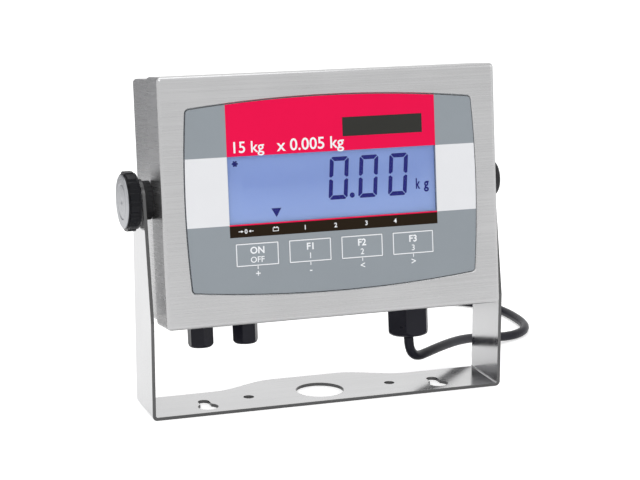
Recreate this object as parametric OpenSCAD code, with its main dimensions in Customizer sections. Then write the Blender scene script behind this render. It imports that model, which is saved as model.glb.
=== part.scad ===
// Weighing indicator: a stainless display head that tilts in a U bracket, with cable glands
// and a mains lead. The origin is on the table, at the middle of the bracket's row of holes.
// +X is to the viewer's right, +Y goes away from the viewer and +Z is up.

/* [Housing] */
// Width of the front cover
housing_w = 212; // [190:1:250]
// Height of the front cover
housing_h = 148; // [140:1:170]
// Depth of the whole housing, front face to rear face
housing_d = 68; // [62:1:90]
// Depth of the front cover
front_d = 26; // [20:1:26]
// Thickness of the stainless sheet
sheet_t = 1.2; // [0.8:0.1:1.6]
// Outer radius of the bent edges
edge_r = 2.5; // [2:0.1:4]
// Angle that the head leans back at rest
tilt = 6.5; // [0:0.5:12]
// Depth of the tilt axis behind the front face
pivot_d = 32; // [31:1:34]
// Height of the tilt axis above the housing's bottom
pivot_h = 75; // [70:1:80]

/* [Bracket] */
// Thickness of the bracket strip
bracket_t = 2; // [1.5:0.1:3]
// Depth of the bracket strip
bracket_d = 40; // [36:1:50]
// How far the middle of the base bulges to the rear
bulge = 14; // [5:1:20]
// Half width of the bulge's full depth
bulge_half_w = 22; // [16:1:30]
// Half width where the bulge has died away
bulge_foot_w = 64; // [50:1:70]
// Height of the tilt axis above the table
pivot_z = 129; // [125:1:150]
// Distance of the tilt axis behind the row of holes
pivot_y = 4.5; // [2:0.5:6]
// Distance of the row of holes behind the base's front edge
row_y = 22.5; // [18:0.5:26]
// Radius of the arm's round end
arm_end_r = 13; // [11:0.5:13]
// Height at which the arm's front edge starts to lean back
arm_lean_z = 60; // [40:1:80]
// Outer radius of the bracket's bends
bend_r = 3; // [2.5:0.5:5]
// Diameter of the two mounting holes
bolt_hole_d = 6.5; // [5:0.5:8]
// Distance between the mounting holes
bolt_spacing = 93; // [80:1:100]
// Diameter of the cable hole
cable_hole_d = 30; // [20:1:34]
// Diameter of a keyhole's head
keyhole_head_d = 12.5; // [10:0.5:14]
// Width of a keyhole's slot
keyhole_slot_w = 7; // [5:0.5:8]
// Distance from a keyhole's head to the end of its slot, centre to centre
keyhole_l = 10.5; // [8:0.5:14]
// Distance between the two keyholes
keyhole_spacing = 151; // [140:1:160]

/* [Front panel] */
// Distance of the panel's widest part from the housing's side
panel_side_margin = 14.2; // [12:0.1:20]
// Distance of the panel's highest part from the housing's top
panel_top_margin = 14.9; // [13:0.1:18]
// Distance of the panel's lowest part from the housing's bottom
panel_low_margin = 16.3; // [14:0.1:19]
// How far the panel's left and right edges bow out
side_bow = 2.3; // [0:0.1:4]
// How far the panel's top and bottom edges bow out
top_bow = 5; // [0:0.1:7]
// Radius of the panel's corners
panel_corner_r = 1.6; // [1.5:0.1:5]
// Depth of the recess that holds the panel
recess_d = 1.2; // [0.8:0.1:1.6]
// Width of the recess's sloped edge
recess_bevel = 1; // [0.5:0.1:1.5]
// Thickness of the panel's plastic film
film_t = 0.6; // [0.4:0.1:0.8]
// Distance of the display window from the panel's side
window_side_margin = 26; // [23:0.1:30]
// Width of the small label window
label_w = 51; // [40:1:56]
// Height of the small label window
label_h = 11.4; // [8:0.1:12]
// Distance of the label window from the panel's highest part
label_top_margin = 13.5; // [12:0.1:15]
// Distance of the label window's right end inside the display window's right end
label_inset = 8.3; // [0:0.1:20]
// Gap between the label window and the display window
label_gap = 8.4; // [8:0.1:10]
// Gap between the display window and the keys
window_key_gap = 11.5; // [10.5:0.1:13]
// Height of a key
key_h = 13.6; // [11:0.2:15]
// Gap between neighbouring keys
key_gap = 6.6; // [5:0.1:9]
// Distance of the outer keys inside the display window's ends
key_side_margin = 3.1; // [1:0.1:6]
// Distance of the keys from the panel's lowest part
key_low_margin = 18.3; // [16:0.1:20]
// Travel of a key
key_travel = 0.4; // [0.2:0.05:0.5]

/* [Clamp knob] */
// Diameter of the knob
knob_d = 36; // [30:1:44]
// Height of the knob with its cap
knob_t = 8.3; // [7:0.1:14]
// Diameter of the knob's metal cap
knob_cap_d = 32; // [26:1:34]
// Number of finger flutes
knob_flutes = 16; // [8:1:24]
// Diameter of the knob's stud and of the pivot screw
stud_d = 6; // [5:1:8]
// Thickness of the steel washer under the knob
knob_washer_t = 1.4; // [1:0.1:2]
// Thickness of the rubber friction washers
friction_t = 5; // [3:0.5:8]
// Diameter of the friction washers
friction_d = 23.4; // [20:0.2:24]
// Diameter of the pivot screw's head
screw_head_d = 23; // [16:1:26]
// Height of the pivot screw's head
screw_head_t = 5; // [4:0.5:8]

/* [Glands and lead] */
// Diameter of the mains lead
cord_d = 6.2; // [5:0.1:7]
// Distance of the power gland from the housing's right side
power_gland_inset = 46; // [40:1:56]
// Distance of the first signal gland from the housing's left side
gland_1_inset = 30; // [26:1:36]
// Distance between the two signal glands
gland_spacing = 28.5; // [24:0.5:34]
// Depth of the glands behind the front face
gland_d = 40; // [36:1:46]
// Size across the flats of the power gland's nut
power_gland_af = 24; // [20:1:26]
// Size across the flats of a signal gland's nut
signal_gland_af = 14; // [13:1:18]
// How far the power gland stands below the housing
power_gland_l = 22; // [18:1:26]
// How far a signal gland stands below the housing
signal_gland_l = 17.6; // [15:0.2:20]

/* [Hidden] */
$fn = 64;
overrun = 2;
skin = 0.01;
fit_gap = 0.05;
slide_gap = 0.15;
seat_gap = 0.1;
nest_gap = 0.3;
thread_pitch = 1;

steel = [0.74, 0.75, 0.77];
dark_steel = [0.55, 0.56, 0.58];
black = [0.09, 0.09, 0.11];
grey = [0.57, 0.61, 0.64];
blue = [0.53, 0.62, 0.83];
board_green = [0.10, 0.36, 0.22];
clear = [0.8, 0.85, 0.9, 0.5];

shell_inset = sheet_t + nest_gap;
shell_w = housing_w - 2 * shell_inset;
shell_h = housing_h - 2 * shell_inset;
gasket_t = 3.8;
gasket_w = 5;
shell_front = sheet_t + gasket_t;
back_inner = housing_d - sheet_t;

// the panel's fields, from its edges to the display window between them
panel_w = housing_w - 2 * panel_side_margin;
panel_h = housing_h - panel_top_margin - panel_low_margin;
panel_z = panel_low_margin + panel_h / 2;
key_z = panel_low_margin + key_low_margin + key_h / 2;
label_z = housing_h - panel_top_margin - label_top_margin - label_h / 2;
window_low = key_z + key_h / 2 + window_key_gap;
window_h = label_z - label_h / 2 - label_gap - window_low;
window_z = window_low + window_h / 2;
window_w = panel_w - 2 * window_side_margin;
label_x = window_w / 2 - label_inset - label_w / 2;
key_w = (window_w - 2 * key_side_margin - 3 * key_gap) / 4;
key_pitch = key_w + key_gap;
key_row = [-1.5 * key_pitch, -0.5 * key_pitch, 0.5 * key_pitch, 1.5 * key_pitch];

// the pressed floor of the recess
recess_back = recess_d + sheet_t;
film_front = recess_d - film_t;

arm_inner = housing_w / 2 + friction_t;
arm_outer = arm_inner + bracket_t;
base_front = -row_y;
base_back = bracket_d - row_y;

// display stack, from the recess floor to the rear
lip_t = 0.5;
glass_t = 2;
backlight_t = 4;
lcd_margin = 2.7;
lcd_wall = 3.4;
lcd_front = recess_back + lip_t;
lcd_w = window_w + 2 * lcd_margin;
lcd_h = window_h + 2 * lcd_margin;
lcd_back = lcd_front + glass_t + backlight_t + lip_t;

// keypad behind the panel
key_hole_gap = 0.5;
keypad_margin = 4;
keypad_t = 2.2;
pocket_t = 0.9;
key_back = recess_back + seat_gap;
pocket_back = recess_back + pocket_t;
dome_r = 5;
dome_top_r = 2.5;
dome_t = pocket_back - key_back - key_travel - skin;

// main board
board_side_margin = 5.8;
board_end_margin = 7.4;
board_w = panel_w - 2 * board_side_margin;
board_h = panel_h - 2 * board_end_margin;
board_t = 1.6;
board_back = lcd_back + board_t;
board_hole_inset = 5;
board_hole_x = board_w / 2 - board_hole_inset;
board_hole_z = board_h / 2 - board_hole_inset;
board_screw_r = 1.5;
standoff_r = 3;
board_head_r = 2.75;
board_head_t = 2;
board_screw_l = 8;

// posts and screws that close the housing
post_r = 4;
post_inset = 13;
post_x = housing_w / 2 - post_inset;
post_z_list = [post_inset, housing_h - post_inset];
case_screw_r = 2;
case_screw_l = 16;
case_head_r = 4;
case_head_t = 2.5;
drive_r = 1.6;
drive_depth = 1.4;

// power board on the rear wall
power_w = 76;
power_h = 56;
power_t = 1.6;
power_side_margin = 18;
power_top_margin = 18;
power_x = housing_w / 2 - power_side_margin - power_w / 2;
power_z = housing_h - power_top_margin - power_h / 2;
power_post_l = 6;
power_post_r = 3;
power_post_inset = 5;
power_front = back_inner - power_post_l - power_t;
transformer_size = [34, 24, 28];
capacitor_r = 8;
capacitor_l = 26;

// battery on the rear wall
battery_w = 70;
battery_h = 48;
battery_d = 24;
battery_side_margin = 19;
battery_top_margin = 24;
battery_x = -housing_w / 2 + battery_side_margin + battery_w / 2;
battery_z = housing_h - battery_top_margin - battery_h / 2;
strap_w = 18;
strap_t = 1;
strap_foot = 9;

// pivot bosses
boss_r = 8;
boss_l = 14;
boss_flange_r = 10;
stud_r = stud_d / 2;
stud_end_x = shell_w / 2 - boss_l;
washer_r = 7;

// glands
power_gland_x = housing_w / 2 - power_gland_inset;
gland_1_x = housing_w / 2 - gland_1_inset;
gland_2_x = gland_1_x - gland_spacing;
gland_wall = shell_inset;
gland_seal_t = 1;
gland_flange_t = 4;
locknut_t = 3;
locknut_wall = 2;
power_thread_r = 10;
signal_thread_r = 6;
signal_bore_r = 3.4;
gland_thread_l = 6;
gland_list = [
    [power_gland_x, power_gland_af, power_gland_l, power_thread_r, cord_d / 2 + fit_gap],
    [-gland_1_x, signal_gland_af, signal_gland_l, signal_thread_r, signal_bore_r],
    [-gland_2_x, signal_gland_af, signal_gland_l, signal_thread_r, signal_bore_r],
];
gland_turn_list = [4, 30, 2];

// where the lead leaves the power gland, and its direction there
mouth_d = gland_d - pivot_d;
mouth_h = -power_gland_l - pivot_h;
mouth_y = pivot_y + mouth_d * cos(tilt) + mouth_h * sin(tilt);
mouth_z = pivot_z - mouth_d * sin(tilt) + mouth_h * cos(tilt);
mouth = [power_gland_x, mouth_y, mouth_z];
down = [0, -sin(tilt), -cos(tilt)];
cord_r = cord_d / 2;
straight_l = 2;

// The lead's route in millimetres, chosen by hand: out of the gland, over the base's rear edge,
// round to the back, and to the coil behind the bracket
drop_route = [
    mouth,
    mouth + straight_l * down,
    [mouth.x + 0.9, 2, 24.2],
    [mouth.x + 3.4, 4, 19.4],
    [mouth.x + 7.2, 6.8, 16.4],
    [mouth.x + 11.6, 10, 15.2],
    [mouth.x + 17, 14.2, 14.9],
];
run_route = [
    [mouth.x + 17, 14.2, 14.9],
    [88, 23, 14.6],
    [100, 33, 13.8],
    [112, 43, 12.4],
    [124, 52, 10.4],
    [136, 59.6, 8],
    [148, 65.8, 5.6],
    [159, 70.6, 3.9],
    [169, 75.3, 3.2],
    [177.5, 81.8, 3.1],
    [183.7, 91, 3.1],
    [187, 102, 3.1],
    [188.4, 114.5, 3.1],
    [188.6, 127.5, 3.1],
    [187.4, 140.5, 3.1],
    [184, 153, 3.1],
    [177.5, 164.3, 3.1],
    [168, 173.5, 3.1],
    [156, 180, 3.1],
    [142.5, 184, 3.1],
    [128.5, 185.8, 3.2],
    [114.5, 186, 3.5],
    [101, 186, 3.8],
    [88, 186, 3.8],
    [76.2, 186, 3.8],
];
tail_route = [
    [63.8, 186, 10.5],
    [57, 186, 10.5],
    [50, 186, 10.7],
    [43, 186, 10.9],
    [38, 186, 11],
    [32, 186, 11],
];

// The coil, wound from a formula: in towards the middle, up a layer and out again
coil_centre = [70, 232.5];
coil_out_r = 46.5;
coil_pitch = 6.67;
coil_turns_in = 3;
coil_z = 3.8;
coil_layer = 6.7;
coil_rings = 24;
coil_lead = cord_d;
tie_w = 9;
tie_t = 0.6;

plug_l = 36;
plug_w = 25;
plug_h = 22;
plug_end_w = 18;
plug_r = 4;
relief_l = 22;
relief_r = 5.5;
relief_end_r = 4;
relief_groove = 0.7;
relief_rings = 5;
blade_l = 18;
blade_w = 6.3;
blade_t = 1.5;
blade_gap = 12.7;
blade_sink = 6;
earth_pin_r = 2.4;
earth_pin_l = 21;
earth_drop = 5.5;
blade_rise = 4;

// Places its children, drawn in the head's own axes, at the head's rest angle
module in_head() {
    translate([0, pivot_y, pivot_z])
        rotate([-tilt, 0, 0])
            translate([0, -pivot_d, -pivot_h])
                children();
}

// Extrudes a flat shape drawn in X and Z from depth y0 to y0 + d
module slab(y0, d) {
    translate([0, y0 + d, 0])
        rotate([90, 0, 0])
            linear_extrude(d)
                children();
}

module round_rect(w, h, r) {
    union() {
        translate([-w / 2 + r, 0]) square([w - 2 * r, h]);
        translate([-w / 2, r]) square([w, h - 2 * r]);
        for (x = [-w / 2 + r, w / 2 - r], z = [r, h - r]) translate([x, z]) circle(r);
    }
}

module plate(x, z, w, h) {
    translate([x - w / 2, z - h / 2]) square([w, h]);
}

// A solid with its front edges and its long edges rounded, standing on z = 0
module rounded_block(w, h, d, r) {
    slab(r, d - r) round_rect(w, h, r);
    translate([-w / 2 + r, 0, r]) cube([w - 2 * r, 2 * r, h - 2 * r]);
    for (z = [r, h - r])
        translate([-w / 2 + r, r, z]) rotate([0, 90, 0]) cylinder(r = r, h = w - 2 * r);
    for (x = [-w / 2 + r, w / 2 - r]) {
        translate([x, r, r]) cylinder(r = r, h = h - 2 * r);
        for (z = [r, h - r]) translate([x, r, z]) sphere(r);
    }
}

// A bar along the depth axis
module depth_rod(x, y0, z, r, l) {
    translate([x, y0, z]) rotate([-90, 0, 0]) cylinder(r = r, h = l);
}

function bowed(p, hw, hh) = [
    p.x + side_bow * (1 - pow(p.y / hh, 2)) * p.x / hw,
    p.y + top_bow * (1 - pow(p.x / hw, 2)) * p.y / hh,
];
function corner(c, r, a0, n) = [for (i = [0:n]) c + r * [cos(a0 + 90 * i / n), sin(a0 + 90 * i / n)]];
function between(a, b, n) = [for (i = [1:n - 1]) a + (b - a) * i / n];

// The panel's barrel outline, grown by g
function panel_outline(g) =
    let (hw = panel_w / 2 - side_bow + g, hh = panel_h / 2 - top_bow + g, r = panel_corner_r + g, n = 6)
    let (cx = hw - r, cz = hh - r)
    [
        for (p = concat(
            corner([cx, cz], r, 0, n), between([cx, hh], [-cx, hh], 16),
            corner([-cx, cz], r, 90, n), between([-hw, cz], [-hw, -cz], 10),
            corner([-cx, -cz], r, 180, n), between([-cx, -hh], [cx, -hh], 16),
            corner([cx, -cz], r, 270, n), between([hw, -cz], [hw, cz], 10)
        )) bowed(p, hw, hh),
    ];

module panel_shape(g) {
    translate([0, panel_z]) polygon(panel_outline(g));
}

module key_shapes(grow) {
    for (x = key_row) plate(x, key_z, key_w + 2 * grow, key_h + 2 * grow);
}

// Front cover: a folded pan with a pressed recess, its windows, a small drain slot and
// notches for the pivot bosses
module front_housing() {
    color(steel) in_head()
        difference() {
            union() {
                difference() {
                    rounded_block(housing_w, housing_h, front_d, edge_r);
                    translate([0, sheet_t, sheet_t])
                        rounded_block(
                            housing_w - 2 * sheet_t, housing_h - 2 * sheet_t,
                            front_d, edge_r - sheet_t
                        );
                }
                slab(sheet_t / 2, recess_back - sheet_t / 2) panel_shape(sheet_t);
            }
            hull() {
                slab(-overrun, overrun) panel_shape(seat_gap + recess_bevel);
                slab(recess_d - skin, skin) panel_shape(seat_gap);
            }
            slab(0, recess_back + overrun) plate(0, window_z, window_w, window_h);
            slab(0, recess_back + overrun) plate(label_x, label_z, label_w, label_h);
            slab(0, recess_back + overrun) key_shapes(key_hole_gap);
            translate([drain_x, edge_r, -overrun])
                cube([drain_w, drain_h, sheet_t + 2 * overrun]);
            for (side = [-1, 1])
                at_pivot(side, housing_w / 2 - shell_inset)
                    cylinder(r = boss_flange_r + fit_gap, h = shell_inset + overrun);
        }
}
drain_x = 41;
drain_w = 5;
drain_h = 1.2;

// Four welded posts that the rear screws pull on
module cover_posts() {
    color(dark_steel) in_head()
        for (x = [-post_x, post_x], z = post_z_list)
            difference() {
                depth_rod(x, sheet_t, z, post_r, back_inner - sheet_t);
                depth_rod(x, back_inner - case_screw_l, z, case_screw_r + fit_gap, case_screw_l + overrun);
            }
}

// Rear shell: a pan that nests inside the front cover, open to the front
module rear_housing() {
    color(steel) in_head()
        difference() {
            union() {
                difference() {
                    rear_block(shell_w, shell_h, shell_inset, edge_r, housing_d);
                    rear_block(
                        shell_w - 2 * sheet_t, shell_h - 2 * sheet_t,
                        shell_inset + sheet_t, edge_r - sheet_t, back_inner
                    );
                }
                for (x = [-1, 1], z = [-1, 1])
                    depth_rod(
                        power_x + x * (power_w / 2 - power_post_inset),
                        back_inner - power_post_l,
                        power_z + z * (power_h / 2 - power_post_inset),
                        power_post_r, power_post_l + sheet_t / 2
                    );
            }
            translate([0, 0, -skin]) slab(-overrun, shell_front + overrun)
                plate(0, housing_h / 2, housing_w, housing_h + overrun);
            for (x = [-post_x, post_x], z = post_z_list)
                depth_rod(x, back_inner - overrun, z, case_screw_r + fit_gap, sheet_t + 2 * overrun);
            for (g = gland_list)
                translate([g[0], gland_d, gland_wall - overrun])
                    cylinder(r = g[3] + fit_gap, h = sheet_t + 2 * overrun);
            for (s = [-1, 1])
                translate([s * (shell_w / 2 - boss_l), pivot_d, pivot_h])
                    rotate([0, s * 90, 0])
                        cylinder(r = boss_r + fit_gap, h = boss_l + overrun);
        }
}

// A rounded block whose round edges are at the rear, open space behind
module rear_block(w, h, z0, r, back) {
    translate([0, back, z0]) mirror([0, 1, 0]) rounded_block(w, h, back, r);
}

// Rubber seal that the rear shell's rim presses on
module housing_gasket() {
    inner_w = shell_w - 2 * gasket_w;
    inner_h = shell_h - 2 * gasket_w;
    color(black) in_head()
        difference() {
            union() {
                slab(sheet_t, gasket_t)
                    plate(0, housing_h / 2, housing_w - 2 * edge_r, housing_h - 2 * edge_r);
                slab(edge_r, shell_front - edge_r)
                    translate([0, shell_inset]) round_rect(shell_w, shell_h, edge_r - shell_inset);
            }
            slab(0, shell_front + overrun) plate(0, housing_h / 2, inner_w, inner_h);
        }
}

// Pan-head screws with a hexagon socket, from the rear
module housing_screws() {
    color(dark_steel) in_head()
        for (x = [-post_x, post_x], z = post_z_list)
            difference() {
                union() {
                    depth_rod(x, housing_d, z, case_head_r, case_head_t);
                    depth_rod(x, housing_d - case_screw_l, z, case_screw_r, case_screw_l);
                }
                translate([x, housing_d + case_head_t - drive_depth, z])
                    rotate([-90, 0, 0])
                        cylinder(r = drive_r, h = drive_depth + overrun, $fn = 6);
            }
}

module front_overlay() {
    color(grey) in_head()
        difference() {
            slab(film_front, film_t) panel_shape(0);
            slab(0, recess_back) plate(0, window_z, window_w, window_h);
            slab(0, recess_back) plate(label_x, label_z, label_w, label_h);
            slab(0, recess_back) key_shapes(slide_gap / 2);
        }
}

// Clear block that fills the window down to the display glass
module display_window() {
    color(clear) in_head()
        slab(film_front, lcd_front - film_front)
            plate(0, window_z, window_w - 2 * seat_gap, window_h - 2 * seat_gap);
}

// Dark window over the slot for a capacity label
module label_window() {
    color([0.16, 0.16, 0.15]) in_head() {
        slab(film_front, recess_back - film_front)
            plate(label_x, label_z, label_w - 2 * seat_gap, label_h - 2 * seat_gap);
        slab(recess_back, lip_t)
            plate(label_x, label_z, label_w + 2 * label_rim, label_h + 2 * label_rim);
    }
}
label_rim = 1.5;

module lcd_frame() {
    color(black) in_head()
        difference() {
            slab(recess_back, lcd_back - recess_back)
                plate(0, window_z, lcd_w + 2 * lcd_wall, lcd_h + 2 * lcd_wall);
            slab(0, lcd_back) plate(0, window_z, window_w, window_h);
            slab(lcd_front, lcd_back)
                plate(0, window_z, lcd_w + 2 * seat_gap, lcd_h + 2 * seat_gap);
        }
}

module lcd_glass() {
    color(blue) in_head()
        slab(lcd_front, glass_t) plate(0, window_z, lcd_w, lcd_h);
}

module lcd_backlight() {
    color("white") in_head()
        slab(lcd_front + glass_t, backlight_t) plate(0, window_z, lcd_w, lcd_h);
}

module main_board() {
    color(board_green) in_head()
        difference() {
            slab(lcd_back, board_t) plate(0, panel_z, board_w, board_h);
            for (x = [-board_hole_x, board_hole_x], z = [-board_hole_z, board_hole_z])
                depth_rod(
                    x, lcd_back - overrun, panel_z + z, board_screw_r + seat_gap, board_t + 2 * overrun
                );
        }
}

// Chips and connectors on the rear of the main board, as shares of the board's size:
// middle across, middle up, width and height, then the height above the board in millimetres
chip_share_list = [
    [-0.10, 0.12, 0.09, 0.15], [0.12, 0.14, 0.12, 0.10], [0.30, 0.20, 0.07, 0.20],
    [-0.30, -0.12, 0.16, 0.18], [0.02, -0.16, 0.06, 0.08], [0.16, -0.18, 0.08, 0.08],
    [0.32, -0.20, 0.12, 0.10],
];
chip_t_list = [1.6, 2.2, 5, 4, 1.4, 1.4, 8];
module board_components() {
    color([0.12, 0.12, 0.13]) in_head()
        for (i = [0:len(chip_share_list) - 1]) {
            c = chip_share_list[i];
            slab(board_back, chip_t_list[i])
                plate(c[0] * board_w, panel_z + c[1] * board_h, c[2] * board_w, c[3] * board_h);
        }
}

module board_standoffs() {
    color(dark_steel) in_head()
        for (x = [-board_hole_x, board_hole_x], z = [-board_hole_z, board_hole_z])
            difference() {
                depth_rod(x, recess_back, panel_z + z, standoff_r, lcd_back - recess_back);
                depth_rod(
                    x, board_back - board_screw_l, panel_z + z, board_screw_r + fit_gap, board_screw_l
                );
            }
}

module board_screws() {
    color(dark_steel) in_head()
        for (x = [-board_hole_x, board_hole_x], z = [-board_hole_z, board_hole_z]) {
            depth_rod(x, board_back - board_screw_l, panel_z + z, board_screw_r, board_screw_l);
            depth_rod(x, board_back, panel_z + z, board_head_r, board_head_t);
        }
}

// Screw terminals for the load cell cable, above the signal glands
terminal_w = 40;
terminal_h = 11;
terminal_t = 12;
terminal_ways = 6;
terminal_screw_r = 1.6;
module terminal_block() {
    terminal_z = panel_z - board_h / 2 + terminal_h / 2 + standoff_r;
    color([0.16, 0.42, 0.25]) in_head()
        difference() {
            slab(board_back, terminal_t) plate(-gland_2_x, terminal_z, terminal_w, terminal_h);
            for (i = [0:terminal_ways - 1])
                depth_rod(
                    -gland_2_x - terminal_w / 2 + terminal_w * (i + 0.5) / terminal_ways,
                    board_back + terminal_t / 2, terminal_z, terminal_screw_r, terminal_t
                );
        }
}

beeper_r = 6;
beeper_t = 7;
beeper_hole_r = 1;
module beeper() {
    beeper_x = board_w / 3;
    color(black) in_head()
        difference() {
            depth_rod(beeper_x, board_back, panel_z, beeper_r, beeper_t);
            depth_rod(beeper_x, board_back + beeper_t / 2, panel_z, beeper_hole_r, beeper_t);
        }
}

// Backing plate of the keypad, with a pocket under each key
module keypad_backing() {
    color([0.75, 0.74, 0.68]) in_head()
        difference() {
            slab(recess_back, keypad_t)
                plate(
                    0, key_z, 3 * key_pitch + key_w + 2 * keypad_margin,
                    key_h + 2 * keypad_margin - key_hole_gap
                );
            slab(recess_back - overrun, pocket_t + overrun) key_shapes(key_hole_gap);
        }
}

module snap_domes() {
    color([0.82, 0.82, 0.80]) in_head()
        for (x = key_row)
            translate([x, pocket_back, key_z]) rotate([90, 0, 0])
                cylinder(r1 = dome_r, r2 = dome_top_r, h = dome_t);
}

// Flat flexible tail from the keypad round the board's lower edge
ribbon_w = 16;
ribbon_t = 0.3;
ribbon_x = -10;
ribbon_lap = 5;
ribbon_drop = 3;
module keypad_ribbon() {
    keypad_back = recess_back + keypad_t;
    board_low = panel_z - board_h / 2;
    ribbon_low = board_low - ribbon_drop;
    keypad_low = key_z - key_h / 2;
    color([0.80, 0.55, 0.20]) in_head()
        translate([ribbon_x - ribbon_w / 2, 0, 0]) {
            translate([0, keypad_back, ribbon_low])
                cube([ribbon_w, ribbon_t, keypad_low - ribbon_low]);
            translate([0, keypad_back, ribbon_low])
                cube([ribbon_w, board_back + ribbon_t - keypad_back, ribbon_t]);
            translate([0, board_back, ribbon_low])
                cube([ribbon_w, ribbon_t, ribbon_drop + ribbon_lap]);
        }
}

// One key: a stiffened patch of the film with its pusher
module key_pad(i) {
    color([0.62, 0.66, 0.69]) in_head()
        slab(film_front, key_back - film_front)
            plate(key_row[i], key_z, key_w - slide_gap, key_h - slide_gap);
}
module key_1() { key_pad(0); }
module key_2() { key_pad(1); }
module key_3() { key_pad(2); }
module key_4() { key_pad(3); }

module power_board() {
    color(board_green) in_head()
        slab(power_front, power_t) plate(power_x, power_z, power_w, power_h);
}

module transformer() {
    s = transformer_size;
    color([0.72, 0.62, 0.20]) in_head() {
        slab(power_front - s.y, s.y) plate(power_x - power_w / 5, power_z, s.x, s.z);
        slab(power_front - s.y * 0.8, s.y * 0.6)
            plate(power_x - power_w / 5, power_z, s.x * 0.6, s.z * 1.3);
    }
}

module capacitor() {
    color([0.16, 0.20, 0.42]) in_head()
        depth_rod(
            power_x + power_w / 4, power_front - capacitor_l, power_z + power_h / 6,
            capacitor_r, capacitor_l
        );
}

module battery_pack() {
    color([0.20, 0.22, 0.25]) in_head()
        slab(back_inner - battery_d, battery_d) plate(battery_x, battery_z, battery_w, battery_h);
}

// Steel strap that holds the battery to the rear wall
module battery_strap() {
    high = battery_z + battery_h / 2;
    low = battery_z - battery_h / 2;
    color(dark_steel) in_head()
        translate([battery_x - strap_w / 2, 0, 0]) {
            translate([0, back_inner - battery_d - strap_t, low - strap_t])
                cube([strap_w, strap_t, battery_h + 2 * strap_t]);
            for (z = [low - strap_t, high])
                translate([0, back_inner - battery_d - strap_t, z])
                    cube([strap_w, battery_d + strap_t, strap_t]);
            for (z = [low - strap_foot, high])
                translate([0, back_inner - strap_t, z]) cube([strap_w, strap_t, strap_foot]);
        }
}

// Turns its children's +Z to point out of the left (-1) or right (+1) side at the tilt axis
module at_pivot(side, x) {
    translate([side * x, pivot_d, pivot_h]) rotate([0, side * 90, 0]) children();
}

// Threaded boss welded into the rear shell's side
module pivot_boss(side) {
    color(dark_steel) in_head()
        difference() {
            union() {
                at_pivot(side, shell_w / 2 - boss_l) cylinder(r = boss_r, h = boss_l);
                at_pivot(side, shell_w / 2) cylinder(r = boss_flange_r, h = shell_inset);
            }
            at_pivot(side, shell_w / 2 - boss_l - overrun)
                cylinder(r = stud_r + fit_gap, h = boss_l + shell_inset + 2 * overrun);
        }
}
module pivot_boss_left() { pivot_boss(-1); }
module pivot_boss_right() { pivot_boss(1); }

// Rubber friction washer between the head and the bracket's arm, with a ring of ribs
washer_ribs = 24;
washer_rib_r = 0.6;
module friction_washer(side) {
    color(black) in_head()
        at_pivot(side, housing_w / 2)
            difference() {
                cylinder(d = friction_d, h = friction_t);
                translate([0, 0, -overrun]) cylinder(r = stud_r + fit_gap, h = friction_t + 2 * overrun);
                for (i = [0:washer_ribs - 1])
                    rotate([0, 0, i * 360 / washer_ribs])
                        translate([friction_d / 2 + washer_rib_r / 2, 0, -overrun])
                            cylinder(r = washer_rib_r, h = friction_t * 0.6 + overrun);
            }
}
module friction_washer_left() { friction_washer(-1); }
module friction_washer_right() { friction_washer(1); }

// Low black screw that is the right-hand pivot
socket_af = 6;
head_chamfer = 1;
module pivot_screw() {
    color(black) in_head()
        difference() {
            union() {
                at_pivot(1, arm_outer) cylinder(d = screw_head_d, h = screw_head_t - head_chamfer);
                at_pivot(1, arm_outer + screw_head_t - head_chamfer)
                    cylinder(
                        r1 = screw_head_d / 2, r2 = screw_head_d / 2 - head_chamfer, h = head_chamfer
                    );
                at_pivot(1, stud_end_x) cylinder(r = stud_r, h = arm_outer - stud_end_x);
            }
            at_pivot(1, arm_outer + screw_head_t / 2)
                cylinder(d = socket_af / cos(30), h = screw_head_t, $fn = 6);
        }
}

module knob_washer() {
    color(steel) in_head()
        at_pivot(-1, arm_outer)
            difference() {
                cylinder(r = washer_r, h = knob_washer_t);
                translate([0, 0, -overrun])
                    cylinder(r = stud_r + fit_gap, h = knob_washer_t + 2 * overrun);
            }
}

// Fluted clamp knob with a skirt towards the arm and a seat for its metal cap
skirt_t = 1.6;
skirt_inset = 1.2;
crown_t = 1;
flute_r = 2.4;
flute_cut = 0.8;
cap_t = 1.3;
cap_proud = 0.7;
module clamp_knob() {
    body_t = knob_t - cap_proud;
    knob_r = knob_d / 2;
    color(black) in_head()
        at_pivot(-1, arm_outer + knob_washer_t)
            difference() {
                union() {
                    cylinder(r = knob_r - skirt_inset, h = skirt_t);
                    translate([0, 0, skirt_t])
                        difference() {
                            cylinder(r = knob_r, h = body_t - skirt_t - crown_t);
                            for (i = [0:knob_flutes - 1])
                                rotate([0, 0, i * 360 / knob_flutes])
                                    translate([knob_r + flute_r - flute_cut, 0, -overrun])
                                        cylinder(r = flute_r, h = knob_t + 2 * overrun);
                        }
                    translate([0, 0, body_t - crown_t]) cylinder(d = knob_cap_d + crown_t, h = crown_t);
                }
                translate([0, 0, knob_t - cap_t])
                    cylinder(d = knob_cap_d + 2 * fit_gap, h = cap_t + overrun);
                translate([0, 0, -overrun]) cylinder(r = stud_r + fit_gap, h = knob_t - cap_t + overrun);
            }
}

// Turned metal cap with a ring groove and a centre dimple
cap_bevel = 0.4;
groove_share_list = [0.60, 0.64, 0.68];
dimple_share = 0.14;
groove_depth = 0.35;
module knob_cap() {
    r = knob_cap_d / 2;
    g = groove_share_list;
    color([0.78, 0.79, 0.80]) in_head()
        at_pivot(-1, arm_outer + knob_washer_t + knob_t - cap_t)
            rotate_extrude()
                polygon([
                    [0, 0], [r, 0], [r, cap_t - cap_bevel], [r - cap_bevel, cap_t],
                    [g[2] * r, cap_t], [g[1] * r, cap_t - groove_depth], [g[0] * r, cap_t],
                    [dimple_share * r, cap_t], [0, cap_t - groove_depth],
                ]);
}

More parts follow.
